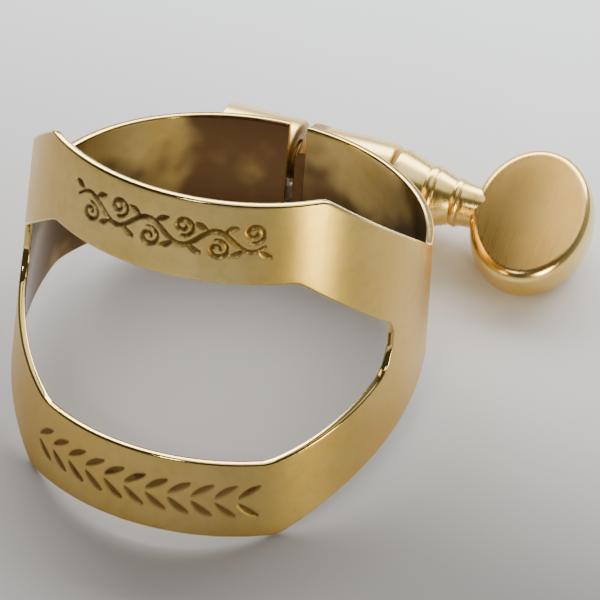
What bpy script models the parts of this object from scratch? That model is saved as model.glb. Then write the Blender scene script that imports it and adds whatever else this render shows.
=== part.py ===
"""Saxophone ligature: a formed metal band that holds the reed, closed by one thumb screw.

The ring stands round the local Z axis with the reed plate at -Y and the slit at +Y.
The screw runs along X, behind the slit. The whole ligature is then laid down as it
rests on a table: on the two front corners, the rear edge and the rim of the thumb plate.
"""
import math

import bmesh
import bpy
from mathutils import Matrix, Vector

MM = 0.001

# Band: one sheet, formed into a slightly tapered ring
RING_FOOT_RADIUS = 13.55 * MM      # outer radius at the lower front edge
RING_TAPER = 0.0455                # outer radius lost for each unit of height
SHEET = 0.65 * MM
FRONT_HEIGHT = 23.4 * MM           # full height of the reed plate side
REAR_FOOT = 6.8 * MM               # lower edge of the low rear wall
REAR_TOP = 15.5 * MM               # upper edge of the low rear wall
LOWER_BAND_TOP = 5.4 * MM          # lower edge of the window
UPPER_BAND_FOOT = 18.0 * MM        # upper edge of the window
WINDOW_SIDE_FOOT = 9.9 * MM
WINDOW_SIDE_TOP = 12.9 * MM
SLIT = 1.2 * MM                    # gap between the two ends of the sheet
COLUMN_STEP = 6                    # degrees between the straight lines of the sheet

# Where the edges bend, in degrees round the ring from the middle of the reed plate
TOP_CORNER = 45.3
REAR_TOP_CORNER = 99.6
WINDOW_TOP_CORNER = 38.5
WINDOW_FOOT_CORNER = 34.6
WINDOW_SIDE = 73.1
FOOT_CORNER = 38.5
REAR_FOOT_CORNER = 100.5
WINDOW_FOOT_BOW = -0.31 * MM       # sag of the window's sloping lower edge
FOOT_BOW = 0.44 * MM               # rise of the band's sloping lower edge

# Screw line, along X behind the slit
SCREW_Y = 15.87 * MM
SCREW_Z = 10.75 * MM
CLEARANCE = 0.3 * MM               # between pieces that touch or slide on the real thing

# Lugs: two barrels brazed to the ends of the band
LUG_RADIUS = 2.83 * MM
LUG_BORE = 1.7 * MM
LUG_CHAMFER = 0.2 * MM
PLAIN_LUG_LENGTH = 6.2 * MM
THREADED_LUG_LENGTH = 5.5 * MM
LUG_GAP = 0.6 * MM                 # what the screw can still close
PLAIN_LUG_START = -0.3 * MM
TURN_SEGMENTS = 40

# Thumb screw
SHANK_RADIUS = 1.4 * MM
TIP_CHAMFER = 0.3 * MM
COLLAR_RADIUS = 2.7 * MM
COLLAR_LENGTH = 0.8 * MM
NECK_RADIUS = 1.45 * MM            # where the neck meets the thumb plate

# Thumb plate: an oval disc in the plane of the screw line
PLATE_X = 15.75 * MM
PLATE_HALF_LENGTH = 3.8 * MM       # of the flat face, along the screw
PLATE_HALF_WIDTH = 4.85 * MM       # of the flat face, across the screw
PLATE_THICKNESS = 3.3 * MM
PLATE_RIM = 0.25 * MM              # how far the rounded rim stands out past the face
PLATE_LEAN = 55.9                  # degrees that the face is turned up from the front
PLATE_SEGMENTS = 56
RIM_STEPS = 8

GOLD = (0.78, 0.58, 0.30)


def clear_scene():
    for item in list(bpy.data.objects):
        bpy.data.objects.remove(item, do_unlink=True)


def metal(name, colour, roughness):
    material = bpy.data.materials.new(name)
    material.use_nodes = True
    shader = material.node_tree.nodes["Principled BSDF"]
    shader.inputs["Base Color"].default_value = (*colour, 1.0)
    shader.inputs["Metallic"].default_value = 1.0
    shader.inputs["Roughness"].default_value = roughness
    return material


def add_empty(name, parent=None, location=(0, 0, 0)):
    empty = bpy.data.objects.new(name, None)
    empty.empty_display_size = 5 * MM
    empty.location = location
    empty.parent = parent
    bpy.context.scene.collection.objects.link(empty)
    return empty


def add_mesh(name, parent, points, faces, material):
    mesh = bpy.data.meshes.new(name)
    mesh.from_pydata([tuple(p) for p in points], [], faces)
    mesh.validate()
    mesh.materials.append(material)
    mesh.shade_smooth()
    mesh.set_sharp_from_angle(angle=math.radians(30))
    body = bpy.data.objects.new(name, mesh)
    body.parent = parent
    bpy.context.scene.collection.objects.link(body)
    return body


def on_line(angle, corners, bow=0.0):
    """Height of an edge at an angle: straight runs between corners, the sloping one bowed."""
    angle = abs(angle)
    (start, low), (end, high) = corners
    along = min(max((angle - start) / (end - start), 0.0), 1.0)
    return low + (high - low) * along + bow * 4 * along * (1 - along)


def column_heights(angle):
    """Foot edge, window foot, window top and top edge of the sheet at one angle."""
    return (
        on_line(angle, ((FOOT_CORNER, 0.0), (REAR_FOOT_CORNER, REAR_FOOT)), FOOT_BOW),
        on_line(angle, ((WINDOW_FOOT_CORNER, LOWER_BAND_TOP), (WINDOW_SIDE, WINDOW_SIDE_FOOT)),
                WINDOW_FOOT_BOW),
        on_line(angle, ((WINDOW_TOP_CORNER, UPPER_BAND_FOOT), (WINDOW_SIDE, WINDOW_SIDE_TOP))),
        on_line(angle, ((TOP_CORNER, FRONT_HEIGHT), (REAR_TOP_CORNER, REAR_TOP))),
    )


def ring_radius(height):
    return RING_FOOT_RADIUS - RING_TAPER * height


def on_ring(angle, height):
    radius = ring_radius(height)
    turn = math.radians(angle)
    return Vector((radius * math.sin(turn), -radius * math.cos(turn), height))


def column_angles():
    """Angles of the sheet's columns, from one side of the slit right round to the other."""
    last = 180 - math.degrees(math.asin(SLIT / 2 / ring_radius(REAR_TOP)))
    half = {0, WINDOW_FOOT_CORNER, WINDOW_TOP_CORNER, TOP_CORNER, WINDOW_SIDE,
            REAR_TOP_CORNER, REAR_FOOT_CORNER, last}
    for step in range(COLUMN_STEP, int(last), COLUMN_STEP):
        if all(abs(step - corner) > 1.5 for corner in half):
            half.add(step)
    return sorted({-a for a in half} | half)


def thicken(points, faces):
    """Closed sheet from its outer skin: an inner skin and the rims that join the two."""
    count = len(points)
    inner = []
    for point in points:
        radius = math.hypot(point.x, point.y)
        shrink = (radius - SHEET) / radius
        inner.append(Vector((point.x * shrink, point.y * shrink, point.z)))
    sides = {(face[k], face[(k + 1) % 4]) for face in faces for k in range(4)}
    rims = [(b, a, a + count, b + count) for a, b in sorted(sides) if (b, a) not in sides]
    backs = [tuple(k + count for k in reversed(face)) for face in faces]
    return points + inner, faces + backs + rims


def build_band(frame):
    angles = column_angles()
    points = [on_ring(a, h) for a in angles for h in column_heights(a)]
    faces = []
    for i in range(len(angles) - 1):
        beside_window = min(abs(angles[i]), abs(angles[i + 1])) < WINDOW_SIDE
        for row in range(3):
            if row == 1 and beside_window:
                continue
            left, right = 4 * i + row, 4 * (i + 1) + row
            faces.append((left, right, right + 1, left + 1))
    points, faces = thicken(points, faces)
    return add_mesh("band", frame, points, faces, metal("band_gold", GOLD, 0.3))


def turned(name, parent, profile, material, closed=False):
    """Body of revolution round X from (x, radius) points, tip first; closed makes a tube."""
    points, rings, faces = [], [], []
    for x, radius in profile:
        if radius == 0:
            rings.append([len(points)] * TURN_SEGMENTS)
            points.append((x, 0, 0))
            continue
        rings.append(list(range(len(points), len(points) + TURN_SEGMENTS)))
        for k in range(TURN_SEGMENTS):
            turn = 2 * math.pi * k / TURN_SEGMENTS
            points.append((x, radius * math.cos(turn), radius * math.sin(turn)))
    pairs = list(zip(rings, rings[1:]))
    if closed:
        pairs.append((rings[-1], rings[0]))
    for near, far in pairs:
        for k in range(TURN_SEGMENTS):
            m = (k + 1) % TURN_SEGMENTS
            corners = (near[k], near[m], far[m], far[k])
            faces.append(tuple(dict.fromkeys(corners)))
    return add_mesh(name, parent, points, faces, material)


def add_saddle_cutter(frame):
    """Tapered drum that hollows each lug's side to sit on the band."""
    top, foot = 30 * MM, -5 * MM
    bm = bmesh.new()
    bmesh.ops.create_cone(
        bm, cap_ends=True, segments=180,
        radius1=ring_radius(foot) + CLEARANCE, radius2=ring_radius(top) + CLEARANCE,
        depth=top - foot,
        matrix=Matrix.Translation((0, 0, (top + foot) / 2)))
    mesh = bpy.data.meshes.new("saddle_cutter")
    bm.to_mesh(mesh)
    bm.free()
    cutter = bpy.data.objects.new("saddle_cutter", mesh)
    cutter.parent = frame
    cutter.hide_render = True
    cutter.display_type = "WIRE"
    bpy.context.scene.collection.objects.link(cutter)
    return cutter


def build_lug(name, axis, start, length, cutter, material):
    end = start + length
    wall = [(start, LUG_BORE), (start, LUG_RADIUS - LUG_CHAMFER), (start + LUG_CHAMFER, LUG_RADIUS),
            (end - LUG_CHAMFER, LUG_RADIUS), (end, LUG_RADIUS - LUG_CHAMFER), (end, LUG_BORE)]
    lug = turned(name, axis, wall, material, closed=True)
    saddle = lug.modifiers.new("saddle", "BOOLEAN")
    saddle.operation = "DIFFERENCE"
    saddle.object = cutter
    return lug


def build_spindle(axis):
    """Threaded shank, collar and tapered neck, turned from one bar."""
    collar = PLAIN_LUG_START + PLAIN_LUG_LENGTH + CLEARANCE
    tip = PLAIN_LUG_START - LUG_GAP - THREADED_LUG_LENGTH + CLEARANCE
    neck_end = PLATE_X - PLATE_HALF_LENGTH - PLATE_RIM - CLEARANCE
    profile = [(tip, 0), (tip, SHANK_RADIUS - TIP_CHAMFER), (tip + TIP_CHAMFER, SHANK_RADIUS),
               (collar, SHANK_RADIUS), (collar, COLLAR_RADIUS),
               (collar + COLLAR_LENGTH, COLLAR_RADIUS), (neck_end, NECK_RADIUS), (neck_end, 0)]
    return turned("screw_spindle", axis, profile, metal("spindle_gold", GOLD, 0.2))


def build_plate(axis):
    """Oval thumb plate: flat face and back, with a rounded rim between them."""
    half = PLATE_THICKNESS / 2
    points, faces = [], []
    for step in range(RIM_STEPS + 1):
        turn = math.pi * step / RIM_STEPS
        out, height = PLATE_RIM * math.sin(turn), half * math.cos(turn)
        for k in range(PLATE_SEGMENTS):
            around = 2 * math.pi * k / PLATE_SEGMENTS
            points.append(((PLATE_HALF_LENGTH + out) * math.cos(around),
                           (PLATE_HALF_WIDTH + out) * math.sin(around), height))
    for step in range(RIM_STEPS):
        for k in range(PLATE_SEGMENTS):
            m = (k + 1) % PLATE_SEGMENTS
            upper, lower = step * PLATE_SEGMENTS, (step + 1) * PLATE_SEGMENTS
            faces.append((upper + k, lower + k, lower + m, upper + m))
    faces.append(tuple(range(PLATE_SEGMENTS)))
    faces.append(tuple(reversed(range(RIM_STEPS * PLATE_SEGMENTS, len(points)))))
    plate = add_mesh("thumb_plate", axis, points, faces, metal("plate_gold", GOLD, 0.35))
    plate.location = (PLATE_X, 0, 0)
    plate.rotation_euler = (math.radians(90 - PLATE_LEAN), 0, 0)
    return plate


def rest_tilt():
    """Angle that lays the front corners and the rear edge on one level."""
    rear = ring_radius(REAR_FOOT)
    front = (ring_radius(0) - SHEET) * math.cos(math.radians(FOOT_CORNER))
    return math.atan2(REAR_FOOT, rear + front)


def lay_down(frame, bodies):
    """Tilt the ligature to its rest, then centre it on the origin with its lowest point at 0."""
    frame.rotation_euler = (-rest_tilt(), 0, 0)
    bpy.context.view_layer.update()
    depsgraph = bpy.context.evaluated_depsgraph_get()
    corners = []
    for body in bodies:
        shown = body.evaluated_get(depsgraph)
        corners += [shown.matrix_world @ v.co for v in shown.to_mesh().vertices]
        shown.to_mesh_clear()
    low = Vector(min(c[i] for c in corners) for i in range(3))
    high = Vector(max(c[i] for c in corners) for i in range(3))
    frame.location = (-(low.x + high.x) / 2, -(low.y + high.y) / 2, -low.z)
    bpy.context.view_layer.update()


def build():
    clear_scene()
    frame = add_empty("ring_frame")
    axis = add_empty("screw_axis", frame, (0, SCREW_Y, SCREW_Z))
    cutter = add_saddle_cutter(frame)
    bodies = [
        build_band(frame),
        build_lug("plain_lug", axis, PLAIN_LUG_START, PLAIN_LUG_LENGTH, cutter,
                  metal("plain_lug_gold", GOLD, 0.25)),
        build_lug("threaded_lug", axis, PLAIN_LUG_START - LUG_GAP - THREADED_LUG_LENGTH,
                  THREADED_LUG_LENGTH, cutter, metal("threaded_lug_gold", GOLD, 0.25)),
        build_spindle(axis),
        build_plate(axis),
    ]
    lay_down(frame, bodies)


build()
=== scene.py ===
"""Saxophone ligature: a sprung gold band with an engraved front, two lugs and a thumb screw."""
import math

import bmesh
import bpy
import numpy as np
from mathutils import Matrix, Vector


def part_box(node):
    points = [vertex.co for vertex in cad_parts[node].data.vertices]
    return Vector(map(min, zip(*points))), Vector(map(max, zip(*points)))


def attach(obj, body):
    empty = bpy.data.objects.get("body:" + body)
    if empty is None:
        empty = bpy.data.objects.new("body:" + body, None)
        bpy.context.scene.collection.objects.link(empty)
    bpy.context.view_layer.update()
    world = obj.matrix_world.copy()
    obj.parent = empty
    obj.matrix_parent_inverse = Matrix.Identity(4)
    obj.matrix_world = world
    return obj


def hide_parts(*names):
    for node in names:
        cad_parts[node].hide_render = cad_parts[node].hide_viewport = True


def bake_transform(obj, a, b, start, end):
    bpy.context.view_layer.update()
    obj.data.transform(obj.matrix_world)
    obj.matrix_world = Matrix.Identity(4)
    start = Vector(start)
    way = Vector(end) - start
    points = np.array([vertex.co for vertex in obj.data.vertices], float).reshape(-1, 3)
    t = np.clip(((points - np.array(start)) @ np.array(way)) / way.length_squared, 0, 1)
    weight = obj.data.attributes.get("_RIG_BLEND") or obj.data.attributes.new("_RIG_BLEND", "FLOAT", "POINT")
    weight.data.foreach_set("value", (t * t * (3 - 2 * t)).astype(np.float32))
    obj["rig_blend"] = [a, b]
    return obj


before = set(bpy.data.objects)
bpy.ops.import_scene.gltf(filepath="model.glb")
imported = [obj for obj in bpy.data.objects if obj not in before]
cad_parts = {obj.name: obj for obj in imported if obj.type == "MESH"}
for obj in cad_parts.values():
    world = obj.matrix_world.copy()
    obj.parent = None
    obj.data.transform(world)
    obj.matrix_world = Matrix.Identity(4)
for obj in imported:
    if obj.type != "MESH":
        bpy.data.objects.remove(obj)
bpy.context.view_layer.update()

MM = 0.001

# The ring's own frame: its axis is Z, the reed side faces -Y and the slit +Y. Lengths are in
# mm; each corner and side is an angle from the middle of the front, in degrees.
RING_FOOT_RADIUS = 13.55
RING_TAPER = 0.0455
SHEET = 0.65
SHEET_SHOWN = 0.5           # a little thinner than it is cut, as its edges are rubbed round
EDGE_ROUND = 0.2
SLIT = 1.2
REAR_FOOT = 6.8
REAR_TOP = 15.5
FRONT_HEIGHT = 23.4
TOP_CORNER, REAR_TOP_CORNER = 45.3, 99.6
WINDOW_TOP_CORNER, WINDOW_FOOT_CORNER, WINDOW_SIDE = 38.5, 34.6, 73.1
FOOT_CORNER, REAR_FOOT_CORNER = 38.5, 100.5
FOOT_BOW, WINDOW_FOOT_BOW = 0.44, -0.31
WINDOW_FOOT, WINDOW_FOOT_SIDE = 5.4, 9.9
WINDOW_TOP, WINDOW_TOP_SIDE = 18.0, 12.9
WINDOW_FOOT_FILLET, WINDOW_TOP_FILLET = 1.3, 0.5
CORNER_ROUND = 1.8          # degrees over which each outline corner is filed round
SCROLL_HEIGHT, SCROLL_DEPTH = 20.95, 0.13
LAUREL_HEIGHT, LAUREL_DEPTH = 2.7, 0.07
SCREW_Y, SCREW_Z = 15.87, 10.75
LUG_RADIUS = 2.83
LUG_BORE = 1.5
PLAIN_LUG = (-0.3, 5.9)
TAPPED_LUG = (-6.4, -0.9)
COLLAR_X = 6.2
THREAD_ROOT, THREAD_CREST, THREAD_PITCH = 1.12, 1.38, 0.6
CORE_RADIUS, TIP_RADIUS = 1.2, 0.85
PLATE_X = 15.75
PLATE_HALF_LENGTH, PLATE_HALF_WIDTH = 4.07, 5.07
PLATE_ROLL, PLATE_BELLY = 0.8, 0.045
PLATE_THICKNESS = 3.3
PLATE_CROWN, PLATE_SHOULDER, PLATE_BACK_SHOULDER = 0.24, 0.95, 0.6
PLATE_LEAN = 55.9           # degrees
MERGE = 0.0005              # corners closer than this are joined


def ring_radius(height):
    return RING_FOOT_RADIUS - RING_TAPER * height


def ring_tilt():
    rear = ring_radius(REAR_FOOT)
    front = (ring_radius(0) - SHEET) * math.cos(math.radians(FOOT_CORNER))
    return math.atan2(REAR_FOOT, rear + front)


def ring_to_rest():
    """Matrix from the ring's own frame in mm to the frame's metres, laid down as it rests."""
    low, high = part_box("screw_spindle")
    middle = (Vector(low) + Vector(high)) / 2
    middle.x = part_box("plain_lug")[0][0] - PLAIN_LUG[0] * MM
    turn = Matrix.Rotation(-ring_tilt(), 4, "X")
    shift = middle - turn @ Vector((0, SCREW_Y, SCREW_Z)) * MM
    return Matrix.Translation(shift) @ turn @ Matrix.Scale(MM, 4)


RING = ring_to_rest()
SLIT_X = RING.translation.x
SCREW = RING @ Matrix.Translation((0, SCREW_Y, SCREW_Z))
ALONG_SCREW = SCREW @ Matrix.Rotation(math.radians(90), 4, "Y")   # turned pieces: Z to the head


# ---------------------------------------------------------------- shader arithmetic

class Wire:
    """One shader socket, with plain arithmetic on it."""

    def __init__(self, finish, socket):
        self.finish, self.socket = finish, socket

    def maths(self, operation, *others):
        return self.finish.node("ShaderNodeMath", {"operation": operation},
                                dict(enumerate((self, *others))))

    def __add__(self, other):
        return self.maths("ADD", other)

    def __rsub__(self, other):
        return self.finish.node("ShaderNodeMath", {"operation": "SUBTRACT"}, {0: other, 1: self})

    def __mul__(self, other):
        return self.maths("MULTIPLY", other)

    __radd__, __rmul__ = __add__, __mul__

    def between(self, low, high, to_low=0.0, to_high=1.0):
        return self.finish.node("ShaderNodeMapRange", {"interpolation_type": "SMOOTHSTEP"},
                                {0: self, 1: low, 2: high, 3: to_low, 4: to_high})


class Finish:
    """One material: a Principled shader and whatever feeds it."""

    def __init__(self, name, **constants):
        self.material = bpy.data.materials.new(name)
        self.material.use_nodes = True
        self.tree = self.material.node_tree
        self.shader = self.tree.nodes["Principled BSDF"]
        for socket, value in constants.items():
            self.shader.inputs[socket.replace("_", " ")].default_value = value

    def node(self, kind, settings=None, values=None, out=0):
        made = self.tree.nodes.new(kind)
        for name, value in (settings or {}).items():
            setattr(made, name, value)
        for socket, value in (values or {}).items():
            if isinstance(value, Wire):
                self.tree.links.new(value.socket, made.inputs[socket])
            else:
                made.inputs[socket].default_value = value
        return Wire(self, made.outputs[out])

    def feed(self, socket, wire):
        self.tree.links.new(wire.socket, self.shader.inputs[socket])

    def place(self, scale=(1, 1, 1), shift=(0, 0, 0)):
        """Place in the piece itself, in metres."""
        spot = self.node("ShaderNodeTexCoord", out=3)
        return self.node("ShaderNodeMapping", {},
                         {"Vector": spot, "Scale": scale, "Location": shift})

    def part(self, where, axis):
        """One number of a place: 0 for X, 1 for Y."""
        return self.node("ShaderNodeSeparateXYZ", {}, {0: where}, out=axis)

    def own(self, attribute):
        """Number stored in the piece's own mesh."""
        return self.node("ShaderNodeAttribute", {"attribute_name": attribute}, out=2)

    def pattern(self):
        """Place on the flat sheet or face, in metres."""
        return self.node("ShaderNodeUVMap", {"uv_map": "pattern"})

    def noise(self, where, scale, detail=3.0, roughness=0.55):
        return self.node("ShaderNodeTexNoise", {}, {"Vector": where, "Scale": scale,
                                                    "Detail": detail, "Roughness": roughness})

    def mix(self, share, first, second):
        return self.node("ShaderNodeMix", {"data_type": "RGBA"},
                         {0: share, 6: first, 7: second}, out=2)

    def stretched(self, where, stretch):
        return self.node("ShaderNodeVectorMath", {"operation": "MULTIPLY"},
                         {0: where, 1: stretch})

    def bump(self, height, strength, distance, under=None):
        values = {"Height": height, "Strength": strength, "Distance": distance}
        if under is not None:
            values["Normal"] = under
        return self.node("ShaderNodeBump", {}, values)


def rgb(red, green, blue):
    return (red, green, blue, 1.0)


# ---------------------------------------------------------------- finishes

GOLD = rgb(0.82, 0.57, 0.165)
GOLD_PALE = rgb(0.88, 0.65, 0.235)
# Deep gold tone, and painted shade round the band's sides and foot.
GOLD_DEEP_AND_SHADE = rgb(0.62, 0.38, 0.09)
# Tarnish for the engraved cuts, and painted shade for the gap behind the slit.
TARNISH_AND_SHADE = rgb(0.16, 0.08, 0.03)
# Stain with painted shade, for the inside of the band.
STAIN_AND_SHADE = rgb(0.14, 0.072, 0.036)
THUMB = rgb(0.80, 0.46, 0.10)
THUMB_PALE = rgb(0.86, 0.53, 0.15)
BRAZE = rgb(0.80, 0.57, 0.20)
BRAZE_DEEP = rgb(0.50, 0.32, 0.10)
# Paper: white where painted lit, dimmer and darker where painted shade and shadow fall.
PAPER_FAR = rgb(0.89, 0.90, 0.915)
PAPER_PAINTED_DIM = rgb(0.52, 0.49, 0.465)
PAPER_SHADED = rgb(0.29, 0.28, 0.27)
FINE_DEPTH, COARSE_DEPTH = 0.02 * MM, 0.05 * MM      # of the surface's scratches and lumps


def band_finish():
    """Satin gold outside, polished edges, stain and painted shade inside, painted shade round the sides and
    along the foot, dark cuts.
    """
    gold = Finish("band_gold", Metallic=1.0, Anisotropic=0.4, Anisotropic_Rotation=0.25)
    flat = gold.pattern()
    spot = gold.place()
    inside, edge, cut = gold.own("inside"), gold.own("edge"), gold.own("cut")
    clouds = gold.noise(spot, 180, 3)
    mottle = gold.noise(spot, 1400, 2)
    grain = gold.noise(gold.stretched(flat, (9000, 260, 1)), 1, 3, 0.6)
    fine = gold.noise(gold.stretched(flat, (26000, 1500, 1)), 1, 2, 0.6)
    wear = gold.noise(spot, 520, 4, 0.65).between(0.52, 0.68)
    base = gold.mix(clouds.between(0.35, 0.65), GOLD, GOLD_PALE)
    base = gold.mix(mottle.between(0.4, 0.75, 0, 0.25), base, GOLD_DEEP_AND_SHADE)
    base = gold.mix(edge * 0.6, base, GOLD_PALE)
    across, height = gold.part(flat, 0), gold.part(flat, 1)
    # Stain and painted shade inside: painted darker low down and right beside the slit, lighter in a patch
    # to its left.
    low = height.between(7 * MM, 16 * MM, 0.16, -0.06)
    near_slit = across.between(-35.0 * MM, -32.0 * MM, 0.14, -0.13)
    near_slit = near_slit + across.between(-28.0 * MM, -18.0 * MM, 0, 0.13)
    stain_and_shade = gold.noise(gold.place(shift=(0.013, 0.004, 0.02)), 130, 3, 0.5) + low + near_slit
    # Painted shade: the gold is painted darker round the sides and along the foot.
    deep = across.between(-10 * MM, -6 * MM, 0.42, 0) + across.between(12 * MM, 17 * MM, 0, 0.5)
    deep = (deep + height.between(5.5 * MM, 9 * MM, 0.25, 0)) * (1 - inside) * (1 - edge)
    base = gold.mix(deep, base, GOLD_DEEP_AND_SHADE)
    # The inside is painted with stain and with shade.
    base = gold.mix(inside * stain_and_shade.between(0.37, 0.58, 0.08, 0.93), base, STAIN_AND_SHADE)
    base = gold.mix(cut * (0.75 + 0.25 * wear), base, TARNISH_AND_SHADE)
    gold.feed("Base Color", base)
    satin = 0.27 + 0.10 * grain + 0.05 * wear
    rough = satin * (1 - edge) + edge * 0.10
    rough = rough * (1 - inside) + inside * (0.10 + 0.12 * clouds)
    gold.feed("Roughness", rough + cut * 0.25)
    lines = gold.bump(grain + 0.6 * fine, 0.10, FINE_DEPTH)
    gold.feed("Normal", gold.bump(mottle, 0.04, COARSE_DEPTH, lines))
    return gold.material


def gap_painted_shade(finish):
    """Share of painted shade: full in the gap behind the slit, none a millimetre away from it."""
    across = finish.part(finish.place(shift=(-SLIT_X, 0, 0)), 0)
    return 1 - across.maths("ABSOLUTE").between(0.55 * MM, 1.25 * MM)


def turned_finish(name, roughness):
    """Gold that was polished in a lathe: fine lines round the screw's own line, and painted shade in the gap
    behind the slit.
    """
    gold = Finish(name, Metallic=1.0, Coat_Weight=0.2, Coat_Roughness=0.12)
    spot = gold.place()
    clouds = gold.noise(spot, 420, 3)
    lines = gold.noise(gold.place(scale=(9000, 300, 300)), 1, 2, 0.6)
    specks = gold.noise(spot, 2600, 3, 0.6).between(0.6, 0.78)
    base = gold.mix(clouds.between(0.35, 0.7), GOLD, GOLD_PALE)
    base = gold.mix(specks * 0.35, base, GOLD_DEEP_AND_SHADE)
    gap_shade = gap_painted_shade(gold)
    # Painted shade in the gap behind the slit.
    gold.feed("Base Color", gold.mix(gap_shade * 0.85, base, TARNISH_AND_SHADE))
    gold.feed("Roughness", roughness + 0.06 * lines + 0.06 * specks + 0.25 * gap_shade)
    gold.feed("Normal", gold.bump(lines, 0.025, FINE_DEPTH))
    return gold.material


def thumb_finish():
    """Straight-brushed face, polished rim; the brushing runs across the screw."""
    gold = Finish("thumb_gold", Metallic=1.0, Coat_Weight=0.15, Coat_Roughness=0.2)
    flat = gold.pattern()
    face = gold.own("face")
    spot = gold.place()
    clouds = gold.noise(spot, 300, 3)
    brush = gold.noise(gold.stretched(flat, (14000, 160, 1)), 1, 3, 0.65)
    streak = gold.noise(gold.stretched(flat, (3200, 90, 1)), 1, 2, 0.6)
    rim = gold.mix(clouds.between(0.35, 0.7), GOLD, GOLD_PALE)
    base = gold.mix(face, rim, gold.mix(clouds.between(0.35, 0.7), THUMB, THUMB_PALE))
    base = gold.mix(face * brush.between(0.35, 0.75, 0, 0.4), base, GOLD_DEEP_AND_SHADE)
    gold.feed("Base Color", base)
    gold.feed("Roughness", face * (0.03 + 0.11 * brush + 0.05 * streak) + 0.18)
    gold.feed("Normal", gold.bump((brush + 0.6 * streak) * face, 0.16, FINE_DEPTH))
    return gold.material


def braze_finish():
    """Braze under the gold: a little lumpy, browner in its hollows, with painted shade in the gap behind the
    slit.
    """
    gold = Finish("braze_gold", Metallic=1.0)
    spot = gold.place()
    lumps = gold.noise(spot, 900, 3)
    stain = gold.noise(spot, 2600, 3, 0.65).between(0.5, 0.75)
    base = gold.mix(stain, BRAZE, BRAZE_DEEP)
    # Painted shade in the gap behind the slit.
    gold.feed("Base Color", gold.mix(gap_painted_shade(gold) * 0.9, base, TARNISH_AND_SHADE))
    gold.feed("Roughness", 0.26 + 0.16 * lumps + 0.1 * stain)
    gold.feed("Normal", gold.bump(lumps, 0.12, COARSE_DEPTH))
    return gold.material


def table_finish():
    """Matt paper with painted light and shade: painted pale towards the back and the front edge, painted
    dimmer round the ring, with a painted shadow in front of it on the right.
    """
    paper = Finish("table_white", Roughness=0.8)
    spot = paper.place()
    soft = paper.noise(spot, 14, 2)
    tooth = paper.noise(spot, 1600, 3)
    across, depth = paper.part(spot, 0), paper.part(spot, 1)
    # Painted light falloff and a painted shadow, standing in for how the lamps light the paper.
    painted_light = depth.between(-0.02, 0.045) + depth.between(-0.085, -0.035, 0.9, 0.0)
    painted_shadow = across.between(-0.015, 0.03) * depth.between(-0.018, 0.008, 1, 0) + 0.15 * soft
    near = paper.mix(painted_shadow, PAPER_PAINTED_DIM, PAPER_SHADED)
    paper.feed("Base Color", paper.mix(painted_light, near, PAPER_FAR))
    paper.feed("Normal", paper.bump(tooth, 0.05, COARSE_DEPTH))
    return paper.material


# ---------------------------------------------------------------- mesh helpers

def add_object(name, mesh, material):
    mesh.materials.append(material)
    thing = bpy.data.objects.new(name, mesh)
    bpy.context.scene.collection.objects.link(thing)
    return thing


def mesh_of(name, points, edges, faces):
    mesh = bpy.data.meshes.new(name)
    mesh.from_pydata([tuple(p) for p in points], edges, faces)
    mesh.validate()
    return mesh


def apply_stack(thing):
    """Turns a piece's modifiers into its mesh."""
    depsgraph = bpy.context.evaluated_depsgraph_get()
    depsgraph.update()
    done = bpy.data.meshes.new_from_object(thing.evaluated_get(depsgraph),
                                           preserve_all_data_layers=True, depsgraph=depsgraph)
    old = thing.data
    thing.modifiers.clear()
    thing.data = done
    bpy.data.meshes.remove(old)


def tidy(thing, merge=0.0):
    """Joins doubled corners, closes open rims and turns every face outwards."""
    bm = bmesh.new()
    bm.from_mesh(thing.data)
    if merge:
        bmesh.ops.remove_doubles(bm, verts=bm.verts, dist=merge)
    open_rims = [e for e in bm.edges if e.is_boundary]
    if open_rims:
        bmesh.ops.holes_fill(bm, edges=open_rims, sides=0)
    bmesh.ops.recalc_face_normals(bm, faces=bm.faces)
    bm.to_mesh(thing.data)
    bm.free()


def smooth(thing, angle=30):
    thing.data.shade_smooth()
    thing.data.set_sharp_from_angle(angle=math.radians(angle))


def bevel(thing, width, segments=3, angle=30):
    rounded = thing.modifiers.new("edges", "BEVEL")
    rounded.width, rounded.segments = width, segments
    rounded.limit_method, rounded.angle_limit = "ANGLE", math.radians(angle)
    rounded.use_clamp_overlap = True


def turned(name, profile, material, steps=96, edge=0.12, closed=False):
    """Piece turned from a profile of (radius, x) in mm, listed from the head end downwards."""
    points = [(radius, 0, x) for radius, x in profile]
    edges = [(i, i + 1) for i in range(len(points) - 1)]
    if closed:
        edges.append((len(points) - 1, 0))
    thing = add_object(name, mesh_of(name, points, edges, []), material)
    lathe = thing.modifiers.new("lathe", "SCREW")
    lathe.steps = lathe.render_steps = steps
    lathe.use_merge_vertices, lathe.merge_threshold = True, MERGE
    bevel(thing, edge)
    apply_stack(thing)
    tidy(thing, merge=MERGE)
    thing.data.transform(ALONG_SCREW)
    smooth(thing)
    return thing


def store(mesh, name, values):
    """Stores one number at each corner, for the finish to read."""
    kept = mesh.attributes.new(name, "FLOAT", "POINT")
    kept.data.foreach_set("value", np.asarray(values, np.float32))


# ---------------------------------------------------------------- band

BEND_RADIUS = ring_radius(12)       # radius at which the flat sheet keeps its length
BENDS_OVER = (70, 175)              # degrees round the left side over which the band gives way


def ease(distance):
    """Straight line that starts at zero, with its corner rounded off."""
    if distance <= -CORNER_ROUND:
        return 0.0
    if distance >= CORNER_ROUND:
        return distance
    return (distance + CORNER_ROUND) ** 2 / (4 * CORNER_ROUND)


def on_line(angle, corners, bow=0.0):
    """Height of an edge at an angle: two level runs joined by a sloping, slightly bowed one."""
    angle = abs(angle)
    (start, low), (end, high) = corners
    slope = (high - low) / (end - start)
    along = min(max((angle - start) / (end - start), 0.0), 1.0)
    return low + slope * (ease(angle - start) - ease(angle - end)) + bow * 4 * along * (1 - along)


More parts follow.
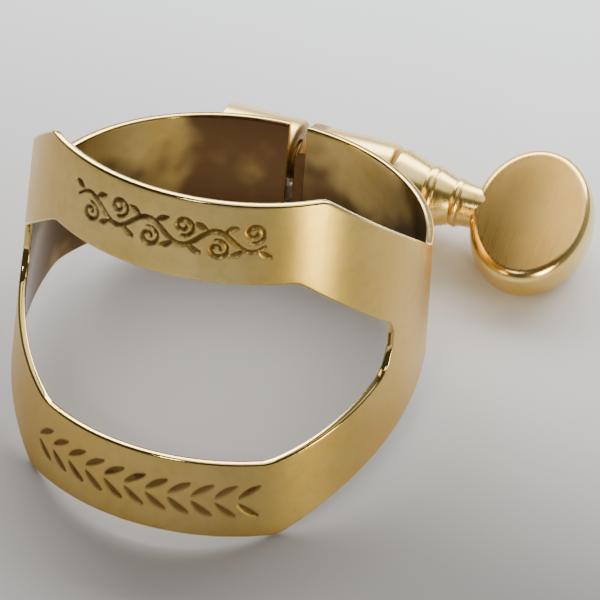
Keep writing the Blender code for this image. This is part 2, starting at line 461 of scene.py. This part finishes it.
def fillet(angle, radius):
    """Height a filed corner adds beside the window's upright side."""
    away = math.radians(abs(WINDOW_SIDE - abs(angle))) * RING_FOOT_RADIUS
    return 0.0 if away >= radius else radius - math.sqrt(radius ** 2 - (radius - away) ** 2)


def edge_heights(angle):
    """Foot, window foot, window top and top of the sheet at one angle."""
    return (on_line(angle, ((FOOT_CORNER, 0.0), (REAR_FOOT_CORNER, REAR_FOOT)), FOOT_BOW),
            on_line(angle, ((WINDOW_FOOT_CORNER, WINDOW_FOOT), (WINDOW_SIDE, WINDOW_FOOT_SIDE)),
                    WINDOW_FOOT_BOW),
            on_line(angle, ((WINDOW_TOP_CORNER, WINDOW_TOP), (WINDOW_SIDE, WINDOW_TOP_SIDE))),
            on_line(angle, ((TOP_CORNER, FRONT_HEIGHT), (REAR_TOP_CORNER, REAR_TOP))))


def scroll_cuts():
    """Running leaf scroll for the upper strip: strokes of (x, height, half width) in mm."""
    length, period, wave = 13.0, 4.4, 0.62
    left = -length / 2
    stem = [(left + length * t,
             SCROLL_HEIGHT + wave * math.sin(2 * math.pi * length * t / period),
             0.06 + 0.07 * math.sin(math.pi * t) ** 0.4) for t in np.linspace(0.005, 0.995, 160)]
    strokes = [stem]
    for half in range(6):
        side = 1 if half % 2 else -1
        centre = left + period / 4 + half * period / 2
        curl = []
        for t in np.linspace(0, 1, 40):
            turn = math.radians(-100 + 470 * t)
            reach = 0.78 - 0.62 * t
            curl.append((centre + 0.12 + reach * math.cos(turn) * 0.95,
                         SCROLL_HEIGHT + side * (wave + reach * math.sin(turn) * 0.85),
                         0.05 + 0.08 * math.sin(math.pi * t) ** 0.7))
        strokes.append(curl)
        for lean in (-1, 1):
            leaf = []
            for t in np.linspace(0, 1, 14):
                leaf.append((centre + lean * (0.55 + 0.75 * t),
                             SCROLL_HEIGHT - side * (0.55 + 0.75 * t - 0.35 * t * t),
                             0.03 + 0.14 * math.sin(math.pi * t)))
            strokes.append(leaf)
    return strokes


def laurel_cuts():
    """Row of paired leaves for the lower strip, broader and flatter cuts."""
    pairs, start, step = 11, -7.9, 1.4
    strokes = []
    for n in range(pairs):
        x = start + n * step
        for side in (-1, 1):
            leaf = []
            for t in np.linspace(0, 1, 16):
                leaf.append((x + 1.25 * t,
                             LAUREL_HEIGHT + side * (0.22 + 1.15 * t - 0.3 * t * t),
                             0.05 + 0.2 * math.sin(math.pi * t) ** 0.8))
            strokes.append(leaf)
    return strokes


def cut_depths(x, height, strokes, depth):
    """How deep the graver went at each place of the flat sheet."""
    deep = np.zeros(len(x))
    for stroke in strokes:
        line = np.array(stroke)
        reach = line[:, 2].max() + 0.1
        near = np.flatnonzero((x > line[:, 0].min() - reach) & (x < line[:, 0].max() + reach)
                              & (height > line[:, 1].min() - reach)
                              & (height < line[:, 1].max() + reach))
        if not len(near):
            continue
        here = np.stack((x[near], height[near]), 1)
        best = np.full(len(near), -1.0)
        for start, end in zip(line[:-1], line[1:]):
            run = end[:2] - start[:2]
            along = np.clip(((here - start[:2]) @ run) / max(run @ run, 1e-9), 0, 1)
            away = np.linalg.norm(here - start[:2] - along[:, None] * run, axis=1)
            half = start[2] + (end[2] - start[2]) * along
            best = np.maximum(best, 1 - away / (half + 0.02))
        grow = np.clip(best * 1.6, 0, 1)
        deep[near] = np.maximum(deep[near], grow * grow * (3 - 2 * grow) * depth)
    return deep


STRIP_ROWS = 47             # of corners, from one edge of a strip to the other
MARGIN = (0.0, 0.31, 0.6)   # rows kept clear at each edge, which is rounded


def strip_heights(foot, top):
    """Rows of one strip: a margin kept clear at each edge, close rows where it is engraved."""
    close = np.linspace(foot + 0.85, top - 0.85, STRIP_ROWS - 2 * len(MARGIN))
    return [foot + m for m in MARGIN] + list(close) + [top - m for m in reversed(MARGIN)]


def band_columns():
    """Angles of the sheet's upright rows: close where it is engraved, and at every corner."""
    last = 180 - math.degrees(math.asin(SLIT / 2 / ring_radius(REAR_TOP)))
    corners = [0, WINDOW_FOOT_CORNER, WINDOW_TOP_CORNER, TOP_CORNER, WINDOW_SIDE,
               REAR_TOP_CORNER, REAR_FOOT_CORNER, last]
    fine = list(np.arange(0, 37.2, 0.36))
    wide = [a for a in np.arange(38.5, last, 1.8) if not 64 < a < 75]
    wide += [WINDOW_SIDE + off for off in (-8, -6.5, -5.2, -4.1, -3.2, -2.4, -1.7, -1.1, 1.4)]
    keep = {WINDOW_SIDE: 1.0, last: 1.4}             # room for the rounded edges
    half = sorted(set(corners) | {float(a) for a in fine + wide
                                  if all(abs(a - c) > keep.get(c, 0.17) for c in corners)})
    return np.array([-a for a in reversed(half) if a] + half)


def flat_sheet():
    """The sheet before it is bent: lower strip, upper strip and the wall beside the window."""
    angles = band_columns()
    side_rows = (0.25, 0.5, 0.75)                    # between the two strips
    count = 2 * STRIP_ROWS + len(side_rows)
    points = []
    for angle in angles:
        foot, window_foot, window_top, top = edge_heights(angle)
        lower, upper = strip_heights(foot, window_foot), strip_heights(window_top, top)
        lower[-1] += fillet(angle, WINDOW_FOOT_FILLET)
        upper[0] -= fillet(angle, WINDOW_TOP_FILLET)
        between = [lower[-1] + (upper[0] - lower[-1]) * t for t in side_rows]
        for height in lower + between + upper:
            points.append((math.radians(angle) * BEND_RADIUS, 0.0, height))
    lower_top, upper_foot = STRIP_ROWS - 1, STRIP_ROWS + len(side_rows)
    faces = []
    for i in range(len(angles) - 1):
        beside_window = min(abs(angles[i]), abs(angles[i + 1])) < WINDOW_SIDE - 0.01
        for row in range(count - 1):
            if lower_top <= row < upper_foot and beside_window:
                continue
            left, right = count * i + row, count * (i + 1) + row
            faces.append((left, right, right + 1, left + 1))
    mesh = mesh_of("band_sheet", points, [], faces)
    bm = bmesh.new()
    bm.from_mesh(mesh)
    bmesh.ops.delete(bm, geom=[v for v in bm.verts if not v.link_faces], context="VERTS")
    bm.to_mesh(mesh)
    bm.free()
    return mesh


def build_band(material):
    """Gives the flat sheet its thickness and rounded edges, engraves it, then bends it round."""
    band = add_object("band_sheet", flat_sheet(), material)
    wall = band.modifiers.new("wall", "SOLIDIFY")
    wall.thickness, wall.offset = SHEET_SHOWN, -1
    wall.use_quality_normals = False
    bevel(band, EDGE_ROUND, 5, 60)
    apply_stack(band)
    mesh = band.data
    spots = np.empty(len(mesh.vertices) * 3)
    mesh.vertices.foreach_get("co", spots)
    spots = spots.reshape(-1, 3)
    share = spots[:, 1] / SHEET_SHOWN                # 0 at the outer face, 1 at the inner one
    depth = np.maximum(cut_depths(spots[:, 0], spots[:, 2], scroll_cuts(), SCROLL_DEPTH),
                       cut_depths(spots[:, 0], spots[:, 2], laurel_cuts(), LAUREL_DEPTH))
    depth[share > 0.001] = 0                         # only the outer face is engraved
    spots[:, 1] += depth
    store(mesh, "cut", np.clip(depth / 0.05, 0, 1))
    uv = mesh.uv_layers.new(name="pattern")
    loops = np.empty(len(mesh.loops), int)
    mesh.loops.foreach_get("vertex_index", loops)
    uv.data.foreach_set("uv", (spots[loops][:, (0, 2)] * MM).astype(np.float32).ravel())
    turn, radius = spots[:, 0] / BEND_RADIUS, ring_radius(spots[:, 2]) - spots[:, 1]
    ring = np.stack((radius * np.sin(turn), -radius * np.cos(turn), spots[:, 2]), 1)
    mesh.vertices.foreach_set("co", ring.ravel())
    store(mesh, "inside", share > 0.93)
    low, _, _, high = np.array([edge_heights(math.degrees(t)) for t in turn]).T
    rim = np.minimum(spots[:, 2] - low, high - spots[:, 2])
    store(mesh, "edge", ((share > 0.004) & (share < 0.996)) | (rim < 0.02))
    mesh.transform(RING)
    smooth(band, 40)
    slit = RING @ Vector((0, ring_radius(REAR_FOOT), REAR_TOP / 2))
    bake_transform(band, "ring", "tapped_end", start=tuple(slit + Vector((SLIT / 2 * MM, 0, 0))),
             end=tuple(slit - Vector((SLIT / 2 * MM, 0, 0))))
    start, end = BENDS_OVER
    round_left = np.clip((-np.degrees(turn) - start) / (end - start), 0, 1)
    follow = round_left * round_left * (3 - 2 * round_left)
    mesh.attributes["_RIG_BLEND"].data.foreach_set("value", follow.astype(np.float32))
    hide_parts("band")


# ---------------------------------------------------------------- lugs

def build_lug(node, body, span, material):
    start, end = span
    profile = [(LUG_RADIUS, end), (LUG_RADIUS, start), (LUG_BORE, start), (LUG_BORE, end)]
    lug = turned(node + "_barrel", profile, material, edge=0.22, closed=True)
    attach(lug, body)
    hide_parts(node)


def build_foot(node, body, span, material):
    """Brazed foot that fills the wedge between the band and its barrel."""
    start, end = span
    stations = np.linspace(start + 0.15, end - 0.25, 24)
    steps = 10
    reach_at_band, reach_at_lug = 2.55, 1.35         # above and below the screw's line
    points, faces = [], []
    for n, x in enumerate(stations):
        to_end = min(n, len(stations) - 1 - n)
        swell = 1 - 0.18 * max(0, 1 - to_end / 2) ** 2
        section = []
        for side in (-1, 1):
            rows = []
            for k in range(steps + 1):
                t = k / steps
                up = (reach_at_lug - reach_at_band) * math.sin(math.pi / 2 * t) ** 0.8
                up = (reach_at_band + up) * swell
                height = SCREW_Z + side * up
                base = math.sqrt(ring_radius(height) ** 2 - x * x) - 0.12
                top = SCREW_Y - math.sqrt(LUG_RADIUS ** 2 - up ** 2) + 0.15
                rows.append((x, base + (max(top, base + 0.05) - base) * t ** 1.6, height))
            section += rows if side < 0 else rows[::-1]
        points += section
    width = 2 * (steps + 1)
    for n in range(len(stations) - 1):
        for k in range(width):
            m = (k + 1) % width
            faces.append((n * width + k, n * width + m, (n + 1) * width + m, (n + 1) * width + k))
    faces.append(tuple(reversed(range(width))))
    faces.append(tuple(range((len(stations) - 1) * width, len(stations) * width)))
    foot = add_object(node + "_braze", mesh_of(node + "_braze", points, [], faces), material)
    tidy(foot)
    foot.data.transform(RING)
    smooth(foot, 50)
    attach(foot, body)


# ---------------------------------------------------------------- thumb screw

def build_thread(material):
    """Cut thread from inside the collar to the tip, and the core inside it."""
    root, crest, pitch = THREAD_ROOT, THREAD_CREST, THREAD_PITCH
    top = COLLAR_X + 0.2
    turns = int((top - (TAPPED_LUG[0] + 0.9)) / pitch)
    tooth = [(root, 1.0), (root, 0.86), (crest, 0.56), (crest, 0.44), (root, 0.14), (root, 0.0)]
    points = [(radius, 0, top - turns * pitch - pitch + share * pitch) for radius, share in tooth]
    edges = [(i, i + 1) for i in range(len(points) - 1)]
    thread = add_object("screw_thread", mesh_of("screw_thread", points, edges, []), material)
    lathe = thread.modifiers.new("die", "SCREW")
    lathe.steps = lathe.render_steps = 40
    lathe.screw_offset, lathe.iterations = pitch, turns
    lathe.use_merge_vertices, lathe.merge_threshold = True, MERGE
    apply_stack(thread)
    tidy(thread, merge=0.002)
    thread.data.transform(ALONG_SCREW)
    smooth(thread, 35)
    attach(thread, "thumb_screw")
    tip = turned("screw_core", [(0, top), (CORE_RADIUS, top),
                                (CORE_RADIUS, TAPPED_LUG[0] + 0.75),
                                (TIP_RADIUS, TAPPED_LUG[0] + 0.36), (0, TAPPED_LUG[0] + 0.3)],
                 material, steps=48, edge=0.05)
    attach(tip, "thumb_screw")


def build_neck(material):
    """Collar, two low beads and a neck that thins towards the thumb plate."""
    x = COLLAR_X
    profile = [(0, 12.6), (1.42, 12.6), (1.44, 11.9), (1.48, 11.3), (1.54, 10.95)]
    for bead, wide, proud in ((10.6, 0.26, 0.13), (8.75, 0.34, 0.14)):
        cone = 1.5 + (11.0 - bead) * 0.235
        profile += [(cone - 0.01, bead + wide + 0.1), (cone - 0.04, bead + wide)]
        profile += [(cone - 0.04 + proud * math.sin(math.radians(t)),
                     bead + wide * math.cos(math.radians(t))) for t in range(18, 163, 18)]
        profile += [(cone - 0.02, bead - wide), (cone + 0.04, bead - wide - 0.1)]
    profile += [(2.32, 7.6), (2.52, x + 0.8), (2.66, x + 0.4), (2.68, x + 0.1), (2.6, x), (0, x)]
    neck = turned("screw_neck", profile, material, edge=0.06)
    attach(neck, "thumb_screw")
    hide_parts("screw_spindle")


def build_thumb_plate(material):
    """Oval plate: slightly crowned brushed face, a rounded polished rim and a flat back."""
    around = 160
    half = PLATE_THICKNESS / 2
    rings = []                                   # share of the face's oval, extra reach, height
    for share in (0.0, 0.2, 0.4, 0.6, 0.75, 0.86, 0.94, 0.98):
        rings.append((share, 0.0, half - PLATE_CROWN * share ** 2.2))
    edge = half - PLATE_CROWN
    for turn in np.radians(np.linspace(5, 90, 13)):
        rings.append((1.0, PLATE_ROLL * math.sin(turn),
                      edge - PLATE_SHOULDER * (1 - math.cos(turn))))
    for t in np.linspace(0, 1, 9)[1:-1]:
        rings.append((1.0, PLATE_ROLL + PLATE_BELLY * math.sin(math.pi * t),
                      (edge - PLATE_SHOULDER) * (1 - t) + (PLATE_BACK_SHOULDER - half) * t))
    for turn in np.radians(np.linspace(90, 6, 9)):
        rings.append((1.0, PLATE_ROLL * math.sin(turn),
                      PLATE_BACK_SHOULDER * (1 - math.cos(turn)) - half))
    for share in (0.98, 0.86, 0.7, 0.4, 0.0):
        rings.append((share, 0.0, -half))
    oval = (PLATE_HALF_LENGTH - PLATE_ROLL - PLATE_BELLY,
            PLATE_HALF_WIDTH - PLATE_ROLL - PLATE_BELLY)
    points, faces, face_mask = [], [], []
    for share, out, height in rings:
        for k in range(around):
            turn = 2 * math.pi * k / around
            points.append(((oval[0] * share + out) * math.cos(turn),
                           (oval[1] * share + out) * math.sin(turn), height))
            # The face's brushing fades out over its edge; the back is brushed up to its own.
            brushed = 1 - out / (0.75 * PLATE_ROLL) if height > 0 else float(share < 0.99)
            face_mask.append(max(brushed, 0.0))
    for n in range(len(rings) - 1):
        for k in range(around):
            m = (k + 1) % around
            faces.append((n * around + k, (n + 1) * around + k,
                          (n + 1) * around + m, n * around + m))
    mesh = mesh_of("thumb_plate_oval", points, [], faces)
    store(mesh, "face", face_mask)
    uv = mesh.uv_layers.new(name="pattern")
    for loop in mesh.loops:
        spot = mesh.vertices[loop.vertex_index].co
        uv.data[loop.index].uv = (spot.x * MM, spot.y * MM)
    plate = add_object("thumb_plate_oval", mesh, material)
    tidy(plate, merge=MERGE)
    plate.data.transform(SCREW @ Matrix.Translation((PLATE_X, 0, 0))
                         @ Matrix.Rotation(math.radians(90 - PLATE_LEAN), 4, "X"))
    smooth(plate, 28)
    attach(plate, "thumb_screw")
    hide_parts("thumb_plate")


# ---------------------------------------------------------------- setting

def build_table(material):
    reach = 1.2                                      # metres
    mesh = mesh_of("table", [(-reach, -reach, 0), (reach, -reach, 0), (reach, reach, 0),
                             (-reach, reach, 0)], [], [(0, 1, 2, 3)])
    table = add_object("table", mesh, material)


CAMERA_AIM = (1.728, -2.061, 6.860)                  # mm
CAMERA_BACK = (0.24537, -0.62761, 0.73885)           # from the aim towards the camera
CAMERA_RIGHT = (0.93633, 0.35087, -0.01291)
CAMERA_DISTANCE = 0.20870                            # metres
LENS = 196.908                                       # mm


def add_camera():
    """Long lens, from above the reed side and a little to the right."""
    aim = Vector(CAMERA_AIM) * MM
    back = Vector(CAMERA_BACK).normalized()
    right = Vector(CAMERA_RIGHT).normalized()
    up = back.cross(right).normalized()
    right = up.cross(back).normalized()
    data = bpy.data.cameras.new("camera")
    data.lens, data.sensor_width = LENS, 36.0
    data.clip_start, data.clip_end = 0.01, 10
    camera = bpy.data.objects.new("camera", data)
    turn = Matrix((right, up, back)).transposed().to_4x4()
    camera.matrix_world = Matrix.Translation(aim + back * CAMERA_DISTANCE) @ turn
    bpy.context.scene.collection.objects.link(camera)
    bpy.context.scene.camera = camera


def add_softbox(name, place, aim, size, brightness, colour, spread):
    """Rectangular softbox; brightness is of its face seen straight on, whatever its size."""
    data = bpy.data.lights.new(name, "AREA")
    data.spread = math.radians(spread)
    if spread < 180:                                  # a grid gathers the light forwards
        half = math.radians(spread) / 2
        brightness *= (math.tan(half) - half) / math.tan(half)
    data.shape, data.size, data.size_y = "RECTANGLE", size[0], size[1]
    data.energy, data.color = brightness * math.pi * size[0] * size[1], colour
    light = bpy.data.objects.new(name, data)
    light.location = place
    light.rotation_euler = (Vector(aim) - Vector(place)).to_track_quat("-Z", "Y").to_euler()
    light.visible_camera = False
    bpy.context.scene.collection.objects.link(light)


SOFTBOXES = (       # name, place, aim, size, brightness, colour, spread in degrees
    ("window_behind", (-0.02, 0.115, 0.085), (-0.01, 0, 0), (0.26, 0.07), 10.0,
     (0.96, 0.98, 1.0), 180),
    ("ceiling", (0.155, 0.15, 0.5), (0.155, 0.15, 0), (0.43, 0.42), 1.44,
     (1.0, 0.99, 0.97), 180),
    ("front_lamp", (-0.02, -0.25, 0.25), (-0.02, -0.105, 0), (0.06, 0.06), 55.0,
     (1, 1, 1), 42),
    ("right_card", (0.064, -0.040, 0.0085), (0.009, -0.009, 0.019), (0.015, 0.015), 26.0,
     (1.0, 0.86, 0.32), 80),
    ("snoot", (0.045, -0.021, 0.013), (0.0135, 0.009, 0.0035), (0.018, 0.012), 34.0,
     (1.0, 0.95, 0.80), 40),
)


def add_light():
    """A room that fades from bright, low behind the ring, to dim in front, and softboxes."""
    world = bpy.data.worlds.new("studio")
    world.use_nodes = True
    room = world.node_tree
    sky = room.nodes["Background"]
    way = room.nodes.new("ShaderNodeTexCoord")
    towards = room.nodes.new("ShaderNodeVectorMath")
    towards.operation = "DOT_PRODUCT"
    towards.inputs[1].default_value = (0.1, 0.88, -0.46)      # brightest low down at the back
    fade = room.nodes.new("ShaderNodeMapRange")
    room.links.new(way.outputs["Generated"], towards.inputs[0])
    room.links.new(towards.outputs["Value"], fade.inputs[0])
    for socket, value in zip((1, 2, 3, 4), (-0.55, 0.7, 0.05, 0.55)):
        fade.inputs[socket].default_value = value
    room.links.new(fade.outputs[0], sky.inputs[1])
    sky.inputs[0].default_value = (0.96, 0.98, 1.0, 1)
    bpy.context.scene.world = world
    for softbox in SOFTBOXES:
        add_softbox(*softbox)


band_gold = band_finish()
barrel_gold = turned_finish("barrel_gold", 0.27)
screw_gold = turned_finish("screw_gold", 0.24)
build_band(band_gold)
braze = braze_finish()
build_lug("plain_lug", "ring", PLAIN_LUG, barrel_gold)
build_lug("threaded_lug", "tapped_end", TAPPED_LUG, barrel_gold)
build_foot("plain_lug", "ring", PLAIN_LUG, braze)
build_foot("threaded_lug", "tapped_end", TAPPED_LUG, braze)
build_thread(screw_gold)
build_neck(screw_gold)
build_thumb_plate(thumb_finish())
build_table(table_finish())
add_camera()
add_light()
